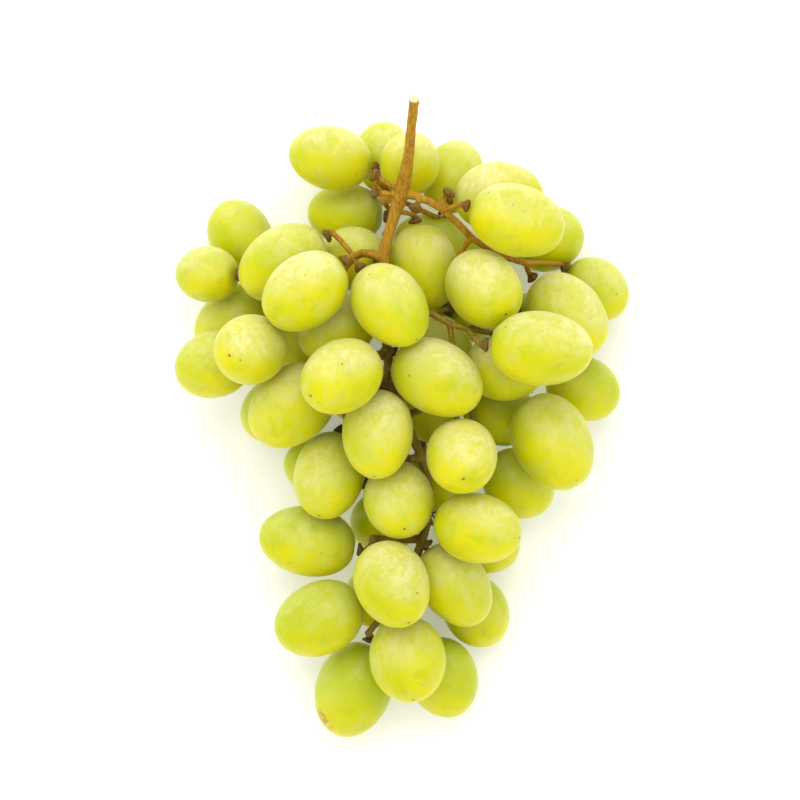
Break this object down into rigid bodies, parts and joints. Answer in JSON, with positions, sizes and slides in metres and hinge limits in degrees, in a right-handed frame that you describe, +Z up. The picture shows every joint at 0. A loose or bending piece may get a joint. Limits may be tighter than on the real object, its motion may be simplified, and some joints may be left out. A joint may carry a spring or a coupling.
{
  "type": "bunch of grapes",
  "caption": "Loose bunch of oval green table grapes on a branching brown stem with a cut stalk end, lying on its side with the wide shoulders at the stalk end and the tail tapering away",
  "frame": {"origin": "centre of the bounding box of the whole bunch in X and Y, on the surface that the bunch lies on", "axes": "+Y runs along the bunch to the cut end of the stalk, -Y to the tail, +Z up from the surface, +X to the right when looking down with the stalk end away from the viewer"},
  "size_m": [0.1258, 0.1744, 0.0651],
  "materials": {
    "berry": "thin translucent yellow-green skin, satin gloss under a patchy pale bloom, with fine brown specks",
    "stem": "satin, half-woody stalk, golden brown on the peduncle and browner-green on the fine pedicels, warty dark collars"
  },
  "bodies": {
    "root": {"stem": "stem", "crown_berry_1": "berry", "crown_berry_2": "berry", "crown_berry_3": "berry", "crown_berry_4": "berry", "crown_berry_5": "berry", "crown_berry_6": "berry", "right_shoulder_berry_1": "berry", "right_shoulder_berry_2": "berry", "right_shoulder_berry_3": "berry", "right_shoulder_berry_4": "berry", "right_shoulder_berry_5": "berry", "right_shoulder_berry_6": "berry", "right_shoulder_berry_7": "berry", "right_shoulder_berry_8": "berry", "right_wing_berry_1": "berry", "right_wing_berry_2": "berry", "right_wing_berry_3": "berry", "right_wing_berry_4": "berry", "right_wing_berry_5": "berry", "right_wing_berry_6": "berry", "left_shoulder_berry_1": "berry", "left_shoulder_berry_2": "berry", "left_shoulder_berry_3": "berry", "left_shoulder_berry_4": "berry", "left_shoulder_berry_5": "berry", "left_shoulder_berry_6": "berry", "left_shoulder_berry_7": "berry", "left_wing_berry_1": "berry", "left_wing_berry_2": "berry", "left_wing_berry_3": "berry", "left_wing_berry_4": "berry", "middle_berry_1": "berry", "middle_berry_2": "berry", "middle_berry_3": "berry", "middle_berry_4": "berry", "middle_berry_5": "berry", "middle_berry_6": "berry", "middle_berry_7": "berry", "right_waist_berry_1": "berry", "right_waist_berry_2": "berry", "right_waist_berry_3": "berry", "right_waist_berry_4": "berry", "right_waist_berry_5": "berry", "right_waist_berry_6": "berry", "right_waist_berry_7": "berry", "right_waist_berry_8": "berry", "left_waist_berry_1": "berry", "left_waist_berry_2": "berry", "left_waist_berry_3": "berry", "left_waist_berry_4": "berry", "left_waist_berry_5": "berry", "tail_berry_1": "berry", "tail_berry_2": "berry", "tail_berry_3": "berry", "tail_berry_4": "berry", "tail_berry_5": "berry", "tail_berry_6": "berry", "tail_berry_7": "berry", "tail_berry_8": "berry"}
  },
  "joints": []
}
